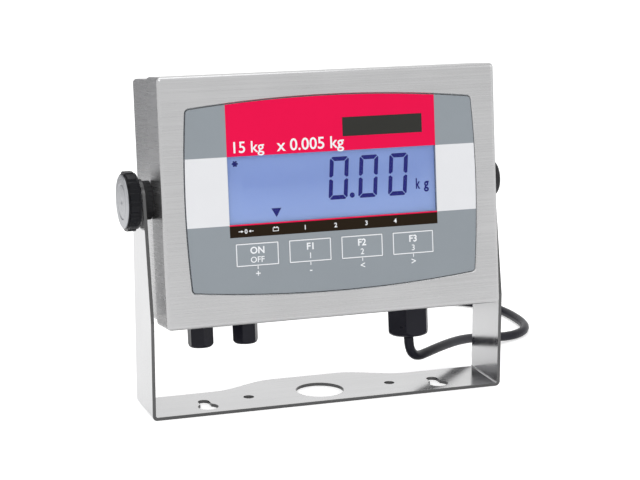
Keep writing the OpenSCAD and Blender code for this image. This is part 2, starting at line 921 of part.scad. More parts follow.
module knob_stud() {
    color(dark_steel) in_head()
        at_pivot(-1, stud_end_x)
            cylinder(r = stud_r, h = arm_outer + knob_washer_t + knob_t - cap_t - seat_gap - stud_end_x);
}

// Gland parts; a gland is a row of gland_list: x, size across flats, length, thread radius, bore radius
module at_gland(g) {
    translate([g[0], gland_d, 0]) children();
}
module hexagon(af, h, turn) {
    rotate([0, 0, turn]) cylinder(d = af / cos(30), h = h, $fn = 6);
}
gland_nut_gap = 0.3;
gland_dome_share = 0.26;
gland_dome_r_share = 0.7;
module gland_body(i) {
    g = gland_list[i];
    top = gland_wall - gland_seal_t;
    low_l = g[2] / 2;
    color(black) in_head() at_gland(g)
        difference() {
            union() {
                translate([0, 0, top - gland_flange_t]) hexagon(g[1], gland_flange_t, gland_turn_list[i]);
                translate([0, 0, -low_l])
                    cylinder(
                        r = g[3] - gland_nut_gap,
                        h = low_l + gland_wall + sheet_t + gland_thread_l - gland_nut_gap
                    );
                translate([0, 0, top])
                    cylinder(r = g[3], h = gland_wall + sheet_t + gland_thread_l - top);
            }
            translate([0, 0, -g[2]]) cylinder(r = g[4] + seat_gap, h = 2 * g[2]);
        }
}
// Cap nut: a hexagon whose end is turned to a dome
module gland_nut(i) {
    g = gland_list[i];
    top = gland_wall - gland_seal_t - gland_flange_t - gland_nut_gap;
    dome_l = gland_dome_share * g[2];
    corner_r = g[1] / 2 / cos(30) + gland_nut_gap;
    end_r = gland_dome_r_share * g[1] / 2;
    color(black) in_head() at_gland(g)
        difference() {
            intersection() {
                translate([0, 0, -g[2]]) hexagon(g[1], top + g[2], gland_turn_list[i]);
                translate([0, 0, -g[2]])
                    rotate_extrude()
                        polygon(concat(
                            [[0, top + g[2]], [0, 0]],
                            [
                                for (k = [0:6])
                                    let (a = 90 * k / 6)
                                    [end_r + (corner_r - end_r) * sin(a), dome_l * (1 - cos(a))],
                            ],
                            [[corner_r, top + g[2]]]
                        ));
            }
            translate([0, 0, -g[2] - overrun]) cylinder(r = g[4] + seat_gap, h = 2 * g[2]);
            translate([0, 0, -g[2] + dome_l]) cylinder(r = g[3], h = 2 * g[2]);
        }
}
// Rubber that the cap nut squeezes onto the lead
module power_gland_seal() {
    g = gland_list[0];
    low = -g[2] + gland_dome_share * g[2];
    color([0.14, 0.14, 0.15]) in_head() at_gland(g)
        translate([0, 0, low])
            difference() {
                cylinder(r = g[3] - gland_nut_gap, h = -g[2] / 2 - low);
                translate([0, 0, -overrun]) cylinder(r = g[4], h = g[2]);
            }
}
// Blanking plug of an unused gland, with its seal
module gland_plug(i) {
    g = gland_list[i];
    low = -g[2] + gland_dome_share * g[2];
    color([0.16, 0.16, 0.18]) in_head() at_gland(g) {
        translate([0, 0, -g[2] + plug_sink]) cylinder(r = g[4], h = g[2]);
        translate([0, 0, low]) cylinder(r = g[3] - gland_nut_gap, h = -g[2] / 2 - low);
    }
}
plug_sink = 0.4;
module power_gland_body() { gland_body(0); }
module power_gland_nut() { gland_nut(0); }
module gland_1_body() { gland_body(1); }
module gland_1_nut() { gland_nut(1); }
module gland_1_plug() { gland_plug(1); }
module gland_2_body() { gland_body(2); }
module gland_2_nut() { gland_nut(2); }
module gland_2_plug() { gland_plug(2); }

module gland_locknuts() {
    color(dark_steel) in_head()
        for (g = gland_list)
            at_gland(g)
                translate([0, 0, gland_wall + sheet_t])
                    difference() {
                        hexagon(2 * (g[3] + locknut_wall), locknut_t, 0);
                        translate([0, 0, -overrun]) cylinder(r = g[3] + fit_gap, h = locknut_t + 2 * overrun);
                    }
}

module gland_washers() {
    color(black) in_head()
        for (g = gland_list)
            at_gland(g)
                translate([0, 0, gland_wall - gland_seal_t])
                    difference() {
                        cylinder(r = g[1] / 2, h = gland_seal_t);
                        translate([0, 0, -overrun])
                            cylinder(r = g[3] + fit_gap, h = gland_seal_t + 2 * overrun);
                    }
}

// The lead's jacket inside the gland, and its three conductors up to the power board
inner_end_h = 22;
lead_r = 0.9;
lead_spread = 1.9;
module cord_inner_end() {
    color(black) in_head()
        translate([power_gland_x, gland_d, -power_gland_l])
            cylinder(r = cord_r, h = power_gland_l + inner_end_h);
}
module mains_leads() {
    top = power_z - power_h / 2 + power_post_inset;
    color([0.35, 0.45, 0.20]) in_head()
        for (i = [-1:1]) {
            x = power_gland_x + i * lead_spread;
            translate([x, gland_d, inner_end_h]) cylinder(r = lead_r, h = top - inner_end_h);
            translate([x, gland_d, top]) sphere(lead_r);
            depth_rod(x, gland_d, top, lead_r, power_front - gland_d);
        }
}

// Sweeps a round tube through a list of points; its end faces stand square to its first and
// last stretch
function unit(v) = v / norm(v);
function heading(path, i) =
    let (last = len(path) - 1)
    i == 0 ? unit(path[1] - path[0])
    : i == last ? unit(path[last] - path[last - 1])
    : unit(unit(path[i + 1] - path[i]) + unit(path[i] - path[i - 1]));
function squared(v, t) = unit(v - (v * t) * t);
function side_vectors(path) = [
    for (i = 0, s = squared([0.6, -0.8, 0.02], heading(path, 0));
         i < len(path);
         i = i + 1, s = i < len(path) ? squared(s, heading(path, i)) : s) s,
];
function tube_points(path, r, sides) =
    let (s = side_vectors(path))
    [
        for (i = [0:len(path) - 1], k = [0:sides - 1])
            let (t = heading(path, i), a = 360 * (k + 0.5) / sides)
            path[i] + r * (cos(a) * s[i] + sin(a) * cross(t, s[i])),
    ];
function tube_faces(n, sides) = concat(
    [for (i = [0:n - 2], k = [0:sides - 1], half = [0, 1])
        let (a = i * sides + k, b = i * sides + (k + 1) % sides)
        half == 0 ? [a, b, a + sides] : [b, b + sides, a + sides]],
    [[for (k = [0:sides - 1]) sides - 1 - k]],
    [[for (k = [0:sides - 1]) (n - 1) * sides + k]]
);
module tube(path, r, sides) {
    polyhedron(tube_points(path, r, sides), tube_faces(len(path), sides));
}

tube_sides = 10;
module power_cord_drop() { color(black) tube(drop_route, cord_r, tube_sides); }
module power_cord_run() { color(black) tube(run_route, cord_r, tube_sides); }
module cord_tail() { color(black) tube(tail_route, cord_r, tube_sides); }

coil_turns = 2 * coil_turns_in;
coil_sides = 6;
function coil_point(u) =
    let (
        a = -90 - 360 * u,
        r = coil_out_r - coil_pitch * min(u, coil_turns - u),
        climb = min(max((u - coil_turns_in + 0.25) / 0.5, 0), 1)
    )
    [coil_centre.x + r * cos(a), coil_centre.y + r * sin(a), coil_z + coil_layer * climb];
coil_line = [for (i = [0:coil_turns * coil_rings]) coil_point(i / coil_rings)];
coil_path = concat(
    [coil_line[0] + [coil_lead, 0, 0]],
    coil_line,
    [coil_line[len(coil_line) - 1] - [coil_lead, 0, 0]]
);
coil_gap = min([
    for (i = [0:len(coil_line) - 1], j = [0:len(coil_line) - 1])
        if (j - i > coil_rings / 2) norm(coil_line[i] - coil_line[j]) - cord_d,
]);
echo(str("least gap between the coil's turns, mm: ", coil_gap));
module cord_coil() { color(black) tube(coil_path, cord_r, coil_sides); }

// Strap round the coil's turns, on the side away from the bracket
module cord_tie() {
    inner_r = coil_out_r - coil_pitch * coil_turns_in - cord_r - seat_gap;
    outer_r = coil_out_r + cord_r + seat_gap;
    top = coil_z + coil_layer + cord_r + seat_gap;
    color([0.2, 0.2, 0.22])
        translate([coil_centre.x - tie_w / 2, coil_centre.y, 0])
            difference() {
                translate([0, inner_r - tie_t, 0])
                    cube([tie_w, outer_r - inner_r + 2 * tie_t, top + tie_t]);
                translate([-overrun, inner_r, tie_t])
                    cube([tie_w + 2 * overrun, outer_r - inner_r, top - tie_t]);
            }
}

// Three-pin plug, lying on its flat side with its blades to the left
plug_x = tail_route[len(tail_route) - 1].x;
plug_y = tail_route[len(tail_route) - 1].y;
plug_z = tail_route[len(tail_route) - 1].z;
plug_face_x = plug_x - relief_l - plug_l;
module plug_side(end_h, face_h) {
    tip = plug_face_x + plug_l;
    polygon([
        [plug_face_x, -face_h / 2 + plug_r / 2], [plug_face_x + plug_r / 2, -face_h / 2],
        [plug_face_x + plug_l / 2, -face_h / 2], [tip - plug_r / 2, -end_h / 2],
        [tip, -end_h / 2 + plug_r / 2], [tip, end_h / 2 - plug_r / 2],
        [tip - plug_r / 2, end_h / 2], [plug_face_x + plug_l / 2, face_h / 2],
        [plug_face_x + plug_r / 2, face_h / 2], [plug_face_x, face_h / 2 - plug_r / 2],
    ]);
}
module plug_body() {
    color(black)
        difference() {
            union() {
                intersection() {
                    translate([0, plug_y, plug_z - plug_h / 2])
                        linear_extrude(plug_h) plug_side(plug_end_w, plug_w);
                    translate([0, plug_y + plug_w / 2, plug_z])
                        rotate([90, 0, 0]) linear_extrude(plug_w) plug_side(plug_end_w, plug_h);
                }
                translate([plug_x, plug_y, plug_z])
                    rotate([0, -90, 0])
                        rotate_extrude() polygon(relief_profile);
            }
            plug_pins(fit_gap);
        }
}
function relief_at(l) = relief_end_r + (relief_r - relief_end_r) * l / relief_l;
relief_step = relief_l / (relief_rings + 1);
relief_profile = concat(
    [[0, 0], [relief_end_r, 0]],
    [
        for (i = [1:relief_rings], k = [0:3])
            let (l = relief_step * i + (k < 2 ? -relief_groove : relief_groove))
            [relief_at(l) - (k == 1 || k == 2 ? relief_groove : 0), l],
    ],
    [[relief_r, relief_l + plug_r], [0, relief_l + plug_r]]
);
// The pins, grown by g for their pockets
module plug_pins(g) {
    for (s = [-1, 1])
        translate([
            plug_face_x - blade_l, plug_y + s * blade_gap / 2 - blade_t / 2 - g,
            plug_z + blade_rise - blade_w / 2 - g,
        ])
            cube([blade_l + blade_sink + g, blade_t + 2 * g, blade_w + 2 * g]);
    translate([plug_face_x + blade_sink + g, plug_y, plug_z - earth_drop])
        rotate([0, -90, 0])
            cylinder(r = earth_pin_r + g, h = earth_pin_l + blade_sink + g);
}
module plug_blades() {
    color([0.80, 0.72, 0.45]) plug_pins(0);
}

// Bracket: a strip bent into a U, with leaning arms and a base that bulges to the rear
function base_back_at(x) =
    let (s = min(max((abs(x) - bulge_half_w) / (bulge_foot_w - bulge_half_w), 0), 1))
    base_back + bulge * (1 + cos(180 * s)) / 2;
base_flat = arm_outer - bend_r;
edge_sides = 48;
module base_outline() {
    polygon(concat(
        [[-base_flat, base_front], [base_flat, base_front]],
        [for (i = [0:edge_sides]) let (x = base_flat * (1 - 2 * i / edge_sides)) [x, base_back_at(x)]]
    ));
}
module keyhole(x) {
    translate([x, -keyhole_l - slot_end_y]) circle(d = keyhole_head_d);
    translate([x, -slot_end_y]) circle(d = keyhole_slot_w);
    translate([x - keyhole_slot_w / 2, -keyhole_l - slot_end_y]) square([keyhole_slot_w, keyhole_l]);
}
slot_end_y = 0.5;

// Where the arm's leaning front edge touches its round end
lean_foot = [base_front, arm_lean_z];
lean_v = lean_foot - [pivot_y, pivot_z];
lean_a = atan2(lean_v.y, lean_v.x) - acos(arm_end_r / norm(lean_v));
lean_touch = [pivot_y, pivot_z] + arm_end_r * [cos(lean_a), sin(lean_a)];
module arm_outline() {
    polygon([
        [base_front, bend_r], lean_foot, lean_touch, [pivot_y, pivot_z],
        [pivot_y + arm_end_r, pivot_z], [base_back, arm_lean_z], [base_back, bend_r],
    ]);
    translate([pivot_y, pivot_z]) circle(arm_end_r);
}
module bend(side) {
    translate([side * base_flat, base_back, bend_r])
        rotate([90, 0, 0])
            linear_extrude(bracket_d)
                intersection() {
                    difference() {
                        circle(bend_r);
                        circle(bend_r - bracket_t);
                    }
                    translate([side > 0 ? 0 : -bend_r, -bend_r]) square(bend_r);
                }
}
module mounting_bracket() {
    color(steel)
        difference() {
            union() {
                linear_extrude(bracket_t)
                    difference() {
                        base_outline();
                        circle(d = cable_hole_d);
                        for (x = [-bolt_spacing / 2, bolt_spacing / 2]) translate([x, 0]) circle(d = bolt_hole_d);
                        for (x = [-keyhole_spacing / 2, keyhole_spacing / 2]) keyhole(x);
                    }
                for (side = [-1, 1]) {
                    bend(side);
                    translate([side > 0 ? arm_inner : -arm_outer, 0, 0])
                        rotate([90, 0, 90])
                            linear_extrude(bracket_t)
                                arm_outline();
                }
            }
            translate([-arm_outer - overrun, pivot_y, pivot_z])
                rotate([0, 90, 0])
                    cylinder(r = stud_r + fit_gap, h = 2 * arm_outer + 2 * overrun);
        }
}

mounting_bracket();
front_housing();
cover_posts();
rear_housing();
housing_gasket();
housing_screws();
front_overlay();
display_window();
label_window();
lcd_frame();
lcd_glass();
lcd_backlight();
main_board();
board_components();
board_standoffs();
board_screws();
terminal_block();
beeper();
keypad_backing();
snap_domes();
keypad_ribbon();
key_1();
key_2();
key_3();
key_4();
power_board();
transformer();
capacitor();
battery_pack();
battery_strap();
pivot_boss_left();
pivot_boss_right();
friction_washer_left();
friction_washer_right();
pivot_screw();
knob_washer();
clamp_knob();
knob_cap();
knob_stud();
power_gland_body();
power_gland_nut();
power_gland_seal();
gland_1_body();
gland_1_nut();
gland_1_plug();
gland_2_body();
gland_2_nut();
gland_2_plug();
gland_locknuts();
gland_washers();
cord_inner_end();
mains_leads();
power_cord_drop();
power_cord_run();
cord_coil();
cord_tail();
cord_tie();
plug_body();
plug_blades();
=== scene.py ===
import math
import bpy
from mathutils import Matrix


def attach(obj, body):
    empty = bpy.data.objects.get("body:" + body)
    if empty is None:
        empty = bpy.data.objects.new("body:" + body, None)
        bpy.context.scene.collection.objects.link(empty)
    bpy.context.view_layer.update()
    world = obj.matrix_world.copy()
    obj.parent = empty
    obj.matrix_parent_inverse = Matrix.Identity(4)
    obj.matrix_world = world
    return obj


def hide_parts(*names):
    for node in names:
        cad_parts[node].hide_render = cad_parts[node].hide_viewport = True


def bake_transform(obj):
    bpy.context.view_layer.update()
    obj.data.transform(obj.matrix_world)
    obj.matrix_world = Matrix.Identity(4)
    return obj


bl_info = {
    "name": "Weighing Indicator",
    "version": (1, 0, 0),
    "blender": (4, 5, 0),
    "location": "3D View > Sidebar > Indicator",
    "description": "Dresses the tilting display head, its bracket and its mains lead",
    "category": "Object",
}

import bmesh
import bpy
from bpy.props import FloatProperty, FloatVectorProperty, PointerProperty
from mathutils import Matrix, Vector

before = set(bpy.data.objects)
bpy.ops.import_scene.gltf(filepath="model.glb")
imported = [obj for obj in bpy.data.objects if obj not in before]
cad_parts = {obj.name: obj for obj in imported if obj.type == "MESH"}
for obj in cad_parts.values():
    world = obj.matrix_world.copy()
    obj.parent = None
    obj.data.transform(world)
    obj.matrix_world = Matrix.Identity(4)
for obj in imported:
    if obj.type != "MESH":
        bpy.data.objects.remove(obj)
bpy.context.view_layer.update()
MM = 0.001

# The head's own axes: x across, y into the depth from the front face, z up from its bottom edge
TILT = math.radians(6.5)
PIVOT = Vector((0, 4.5, 129)) * MM
PIVOT_IN_HEAD = Vector((0, 32, 75)) * MM
HEAD = (
    Matrix.Translation(PIVOT)
    @ Matrix.Rotation(-TILT, 4, "X")
    @ Matrix.Translation(-PIVOT_IN_HEAD)
)

# The bracket's sheet in metres: its arms lie beyond the first value, its base below the second
ARM_START = 0.1099
BASE_TOP = 0.0031

# The front in millimetres, on the head's own axes
FILM_FRONT = 0.6
LCD_FRONT = 2.9
LEGEND_LIFT = 0.04
WINDOW_HALF = 65.8
WINDOW_LOW = 59.7
WINDOW_HIGH = 99.8
STRIP_LOW = 52
STRIP_HIGH = 58.9
BAND_LOW = 59.3
FIELD_HALF = WINDOW_HALF + 0.1
FIELD_CUT = WINDOW_LOW - 0.05
KEY_ROW = (-49.5, -16.5, 16.5, 49.5)
KEY_MIDDLE = 41.4
KEY_SIZE = (26.3, 13.5)
KEY_FOOT = KEY_MIDDLE - KEY_SIZE[1] / 2
KEY_LINE = 0.6
KEY_CORNER = 0.4

# Words on the front. A title's has its place, capital height, boldness and greatest width
TITLE_MIDDLE = 105.2
TITLE_WORDS = (("15 kg", -61.6, 6.6, 0.010, 34), ("x 0.005 kg", -35, 7, 0.012, 54))
STRIP_MIDDLE = (STRIP_LOW + STRIP_HIGH) / 2
STRIP_NUMBERS = (("1", -19.2), ("2", 0.1), ("3", 19.7), ("4", 38.3))
STRIP_BOLD = 0.02
ZERO_SIGN = -56
BOX_SIGN = -37.6
KEY_LEGENDS = (("ON", "OFF"), ("F1", "1"), ("F2", "2"), ("F3", "3"))
KEY_SIGNS = ("+", "-", "<", ">")
CAPITAL = 0.70

# The reading on the display in millimetres. The unit's letters have a place and a width
DIGITS = (3.9, 22.8, 42)
DIGIT_MIDDLE = 83.3
DIGIT_LEAN = 0.072
DIGIT_HALF_SHARE = 0.236
BAR_SHARE = 0.099
BAR_CUT_SHARE = 0.6
BAR_GAP = 0.3
BAR_SPLIT = 0.45
POINT = (12.1, 72.5, 1.6)
UNIT = (("k", 54.8, 2.9), ("g", 60.2, 3.3))
UNIT_MIDDLE = 77
UNIT_HEIGHT = 6.2
STAR = (-60.5, 95.4)
STAR_POINTS = 6
STAR_REACH = 1.35
ARROW = (-36, 66, 3.6)

# Brushed steel: how fine its grain is along x, y and z, how dark the painted shade on the bracket's
# cut edges and hole walls is, and how its sides are told
HEAD_GRAIN = (14, 2600, 2600)
HEAD_SIDE_GRAIN = (2600, 14, 2600)
BASE_GRAIN = (10, 1800, 1800)
ARM_GRAIN = (1800, 1800, 10)
EVEN_GRAIN = (200, 200, 200)
GRAIN_DETAIL = 4
GRAIN_ROUGHNESS = 0.7
EDGE_PAINTED_SHADE = 0.2
SIDE_NORMAL = 0.6

# Scales of the noise textures: patches of tone, an ink's peel and a turned face's rings
STEEL_PATCHES = 16
MOULDED_PATCHES = 60
PRINT_PATCHES = 25
PRINT_PEEL = 900
GLOW_PATCHES = 14
TURNED_RINGS = 2200

# Most of a noise texture's values lie between these
NOISE_LOW = 0.3
NOISE_HIGH = 0.7

# The stage in metres, with the lamps' sizes and powers
CAMERA_PLACE = (-0.36909, -1.06544, 0.34658)
CAMERA_YAW = 0.3336
CAMERA_PITCH = 0.2171
CAMERA_LENS = 105.65
WORLD_LIGHT = 0.64
WORLD_SEEN = 1.0
FLOOR_HALF = 6
FLOOR_PLACE = (0, 0, -0.0002)
FLOOR_GLOW = 0.22
FLOOR_SEEN = 0.32
FLOOR_MIRRORED = 0.08
CARD_PLACE = (-0.35, 0.5, 0.32)
CARD_SIZE = (0.7, 0.56)
CARD_GREY = (0.42, 0.42, 0.43)
LAMP_AIM = Vector((0, 0, 0.1))
LAMPS = (
    ("key", (-0.9, -1.1, 1.5), 1.1, 8.15),
    ("fill", (1.4, -0.9, 0.9), 1.2, 4),
    ("top", (0.0, 0.4, 1.8), 1.2, 6),
)

# The mains lead's route in millimetres, as its solids have it
GLAND_MOUTH = (60, 1.467, 31.713)
DROP = [
    GLAND_MOUTH, (60, 1.241, 29.726), (60.9, 2, 24.2), (63.4, 4, 19.4), (67.2, 6.8, 16.4),
    (71.6, 10, 15.2),
]
RUN = [
    (77, 14.2, 14.9), (88, 23, 14.6), (100, 33, 13.8), (112, 43, 12.4), (124, 52, 10.4),
    (136, 59.6, 8), (148, 65.8, 5.6), (159, 70.6, 3.9), (169, 75.3, 3.2), (177.5, 81.8, 3.1),
    (183.7, 91, 3.1), (187, 102, 3.1), (188.4, 114.5, 3.1), (188.6, 127.5, 3.1),
    (187.4, 140.5, 3.1), (184, 153, 3.1), (177.5, 164.3, 3.1), (168, 173.5, 3.1),
    (156, 180, 3.1), (142.5, 184, 3.1), (128.5, 185.8, 3.2), (114.5, 186, 3.5),
    (101, 186, 3.8), (88, 186, 3.8),
]
TAIL = [(57, 186, 10.5), (50, 186, 10.7), (43, 186, 10.9), (38, 186, 11), (32, 186, 11)]
COIL_CENTRE = (70, 232.5)
COIL_RADIUS = 46.5
COIL_PITCH = 6.67
COIL_TURNS = 6
COIL_LOW = 3.8
COIL_LAYER = 6.7
COIL_STEPS = 36
CLIMB_TURNS = 0.5
ROUTE_STEP = 2.5


def srgb(r, g, b):
    """A colour written as 0 to 255 on the screen, as the shader's linear values."""
    return tuple(
        c / 12.92 if c <= 0.04045 else ((c + 0.055) / 1.055) ** 2.4
        for c in (r / 255, g / 255, b / 255)
    )


class IndicatorSizes(bpy.types.PropertyGroup):
    """Sizes that a user would change."""

    ink_height: FloatProperty(
        name="Ink height", description="How far print stands off the film",
        default=0.00004, min=0.00001, max=0.0002, unit="LENGTH",
    )
    lead_diameter: FloatProperty(
        name="Lead diameter", description="Diameter of the mains lead",
        default=0.0062, min=0.004, max=0.009, unit="LENGTH",
    )
    digit_height: FloatProperty(
        name="Digit height", description="Height of the display's digits",
        default=0.0256, min=0.02, max=0.03, unit="LENGTH",
    )
    brush_depth: FloatProperty(
        name="Brush depth", description="Depth of the brushing in the steel",
        default=0.00001, min=0, max=0.0001, unit="LENGTH",
    )


def colour(label, description, value):
    return FloatVectorProperty(
        name=label, description=description, default=value, subtype="COLOR", size=3, min=0, max=1
    )


class IndicatorColours(bpy.types.PropertyGroup):
    """Colours that a user would change."""

    panel: colour("Panel", "Grey of the panel film", srgb(146, 153, 159))
    band: colour("Band", "White of the bands beside the display", srgb(228, 229, 232))
    title: colour("Title", "Red of the title field", srgb(234, 8, 74))
    strip: colour("Strip", "Dark strip under the display", srgb(33, 22, 8))
    ink: colour("Ink", "White of legends and outlines", srgb(240, 242, 245))
    display: colour("Display", "Lit blue of the display", srgb(136, 159, 211))
    segment: colour("Segment", "Dark blue of the display's digits", srgb(18, 18, 112))
    steel: colour("Steel", "Brushed stainless steel", (0.50, 0.50, 0.505))
    lead: colour("Lead", "Black of the mains lead", srgb(29, 29, 38))


def sizes():
    return bpy.context.scene.indicator_sizes


def colours():
    return bpy.context.scene.indicator_colours


# Materials


def shade(rgb, factor):
    return tuple(min(1.0, c * factor) for c in rgb)


class Nodes:
    """A node tree under construction, with short ways to add and link nodes."""

    def __init__(self, tree):
        self.tree = tree

    def node(self, kind, **settings):
        made = self.tree.nodes.new("ShaderNode" + kind)
        for key, value in settings.items():
            setattr(made, key, value)
        return made

    def link(self, source, target):
        self.tree.links.new(source, target)

    def feed(self, value, socket):
        """Sets a socket to a number, or links an output to it."""
        if isinstance(value, (int, float)):
            socket.default_value = value
        else:
            self.link(value, socket)

    def math(self, operation, a, b=None, clamp=False):
        made = self.node("Math", operation=operation, use_clamp=clamp)
        self.feed(a, made.inputs[0])
        if b is not None:
            self.feed(b, made.inputs[1])
        return made.outputs["Value"]


class Shader(Nodes):
    """A material under construction."""

    def __init__(self, name):
        self.material = bpy.data.materials.new(name)
        self.material.use_nodes = True
        super().__init__(self.material.node_tree)
        self.surface = self.tree.nodes["Principled BSDF"]

    def set(self, **values):
        for key, value in values.items():
            self.surface.inputs[key.replace("_", " ")].default_value = value

    def base(self, rgb, metallic, roughness):
        self.set(Base_Color=(*rgb, 1), Metallic=metallic, Roughness=roughness)

    def place(self, scale=(1, 1, 1), rotation=(0, 0, 0), location=(0, 0, 0)):
        """Object coordinates, moved and turned first and then scaled."""
        turned = self.node("Mapping")
        turned.inputs["Rotation"].default_value = rotation
        turned.inputs["Location"].default_value = location
        self.link(self.node("TexCoord").outputs["Object"], turned.inputs["Vector"])
        scaled = self.node("Mapping")
        scaled.inputs["Scale"].default_value = scale
        self.link(turned.outputs["Vector"], scaled.inputs["Vector"])
        return scaled.outputs["Vector"]

    def noise(self, vector, scale, detail, roughness=0.5):
        made = self.node("TexNoise")
        made.inputs["Scale"].default_value = scale
        made.inputs["Detail"].default_value = detail
        made.inputs["Roughness"].default_value = roughness
        self.link(vector, made.inputs["Vector"])
        return made.outputs["Fac"]

    def spread(self, noise, low, high):
        """A noise texture's usual values, spread between two numbers."""
        made = self.node("MapRange")
        keys = ("From Min", "From Max", "To Min", "To Max")
        for key, number in zip(keys, (NOISE_LOW, NOISE_HIGH, low, high)):
            made.inputs[key].default_value = number
        self.link(noise, made.inputs["Value"])
        return made.outputs["Result"]

    def tint(self, noise, rgb, dark, light, low=NOISE_LOW, high=NOISE_HIGH):
        """Lets noise set the base colour between two shades of rgb."""
        made = self.node("ValToRGB")
        for stop, place, factor in zip(made.color_ramp.elements, (low, high), (dark, light)):
            stop.position = place
            stop.color = (*shade(rgb, factor), 1)
        self.link(noise, made.inputs["Fac"])
        self.link(made.outputs["Color"], self.surface.inputs["Base Color"])

    def bump(self, height, distance, strength, normal=None):
        made = self.node("Bump")
        made.inputs["Distance"].default_value = distance
        made.inputs["Strength"].default_value = strength
        self.link(height, made.inputs["Height"])
        if normal is not None:
            self.link(normal, made.inputs["Normal"])
        self.link(made.outputs["Normal"], self.surface.inputs["Normal"])

    def rounded_edges(self, radius):
        made = self.node("Bevel", samples=4)
        made.inputs["Radius"].default_value = radius
        return made.outputs["Normal"]

    def split(self, vector):
        made = self.node("SeparateXYZ")
        self.link(vector, made.inputs[0])
        return made.outputs

    def mix(self, factor, a, b):
        made = self.node("Mix", data_type="FLOAT")
        for value, socket in zip((factor, a, b), (made.inputs["Factor"], *made.inputs[2:4])):
            self.feed(value, socket)
        return made.outputs[0]

    def painted_edge_shade(self, normal):
        """1 on the bracket's sheet faces, and dark on its cut edges and in its holes: painted
        shade.
        """
        place = self.split(self.node("TexCoord").outputs["Object"])
        beside = self.math("GREATER_THAN", self.math("ABSOLUTE", place["X"]), ARM_START)
        below = self.math("LESS_THAN", place["Z"], BASE_TOP)
        face = self.math(
            "ADD",
            self.math("MULTIPLY", self.math("ABSOLUTE", normal["X"]), beside),
            self.math("MULTIPLY", self.math("ABSOLUTE", normal["Z"]), below),
        )
        return self.mix(self.math("GREATER_THAN", face, 0.5), EDGE_PAINTED_SHADE, 1)


def brushed(name, rgb, grain, side_grain, tilt=0.0, rough=(0.22, 0.34), painted_edges=False):
    """Brushed sheet, with one grain on its faces and another on the sides that look along x. On the
    bracket, its cut edges and hole walls get painted shade.
    """
    s = Shader(name)
    s.base(rgb, 1, 0.3)
    turn = (tilt, 0, 0)
    faces = s.noise(s.place(grain, turn), 1, GRAIN_DETAIL, GRAIN_ROUGHNESS)
    sides = s.noise(s.place(side_grain, turn), 1, GRAIN_DETAIL, GRAIN_ROUGHNESS)
    normal = s.split(s.node("TexCoord").outputs["Normal"])
    is_side = s.math("GREATER_THAN", s.math("ABSOLUTE", normal["X"]), SIDE_NORMAL)
    brush = s.mix(is_side, faces, sides)
    patches = s.noise(s.place(), STEEL_PATCHES, 2)
    tone = s.math("ADD", s.spread(brush, 0.93, 1.05), s.spread(patches, -0.04, 0.04))
    # Painted shade: darkens the cut edges and the walls of the holes
    if painted_edges:
        tone = s.math("MULTIPLY", tone, s.painted_edge_shade(normal))
    tint = s.node("Mix", data_type="RGBA", blend_type="MULTIPLY")
    tint.inputs["Factor"].default_value = 1
    tint.inputs[6].default_value = (*rgb, 1)
    s.link(tone, tint.inputs[7])
    s.link(tint.outputs[2], s.surface.inputs["Base Color"])
    roughness = s.math("ADD", s.spread(brush, *rough), s.spread(patches, -0.03, 0.04))
    s.link(roughness, s.surface.inputs["Roughness"])
    s.bump(brush, sizes().brush_depth, 0.4, s.rounded_edges(0.0004))
    return s.material


def moulded(name, rgb, rough=0.45, grain=2500, depth=0.00003, fleck=0.12, edge=0.0003, shine=0.3):
    """Moulded plastic or rubber, with a fine eroded skin and slightly worn tone."""
    s = Shader(name)
    s.base(rgb, 0, rough)
    s.set(Specular_IOR_Level=shine)
    place = s.place()
    skin = s.noise(place, grain, 2)
    patches = s.noise(place, MOULDED_PATCHES, 3)
    s.tint(patches, rgb, 1 - fleck, 1 + fleck)
    s.link(s.spread(patches, rough - 0.05, rough + 0.07), s.surface.inputs["Roughness"])
    s.bump(skin, depth, 0.4, s.rounded_edges(edge))
    return s.material


def printed(name, rgb, rough=0.55):
    """Ink or film: an even colour with a faint orange peel."""
    s = Shader(name)
    s.base(rgb, 0, rough)
    s.set(Specular_IOR_Level=0.1)
    place = s.place()
    s.tint(s.noise(place, PRINT_PATCHES, 2), rgb, 0.985, 1.015)
    s.bump(s.noise(place, PRINT_PEEL, 2), 0.000004, 0.3)
    return s.material


def lit(name, rgb, strength):
    """Something that glows a little, such as a lit display."""
    s = Shader(name)
    s.base(rgb, 0, 0.3)
    s.tint(s.noise(s.place(), GLOW_PATCHES, 1), rgb, 0.97, 1.03, 0.35, 0.65)
    s.set(Emission_Color=(*rgb, 1), Emission_Strength=strength)
    return s.material


def turned(name, rgb, centre):
    """Turned metal, with fine rings about an axis along x through the centre."""
    s = Shader(name)
    s.base(rgb, 1, 0.25)
    place = s.split(s.place(location=(-centre[0], -centre[1], -centre[2])))
    squares = s.math("ADD", s.math("POWER", place["Y"], 2), s.math("POWER", place["Z"], 2))
    join = s.node("CombineXYZ")
    s.link(s.math("SQRT", squares), join.inputs[0])
    rings = s.noise(join.outputs[0], TURNED_RINGS, 3, 0.7)
    s.tint(rings, rgb, 0.7, 1.15)
    s.link(s.spread(rings, 0.18, 0.42), s.surface.inputs["Roughness"])
    s.bump(rings, 0.00003, 0.6, s.rounded_edges(0.0002))
    return s.material


def clear(name, rgb, alpha):
    """A clear pane with a trace of its colour."""
    s = Shader(name)
    s.base(rgb, 0, 0.04)
    s.set(Alpha=alpha, IOR=1.49)
    return s.material


def dress(material, *nodes):
    """Gives CAD nodes a finer material, in their own slots."""
    for name in nodes:
        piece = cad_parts[name]
        if not piece.data.materials:
            piece.data.materials.append(material)
        for slot in piece.material_slots:
            slot.material = material


# Shapes


def finish_mesh(name, bm, materials, body, place=None, smooth=False):
    """Writes a bmesh to an object at the origin that rides on a body."""
    if place is not None:
        bm.transform(place)
    mesh = bpy.data.meshes.new(name)
    bm.to_mesh(mesh)
    bm.free()
    for material in materials:
        mesh.materials.append(material)
    if smooth:
        mesh.shade_smooth()
    piece = bpy.data.objects.new(name, mesh)
    bpy.context.scene.collection.objects.link(piece)
    if body:
        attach(piece, body)
    return piece


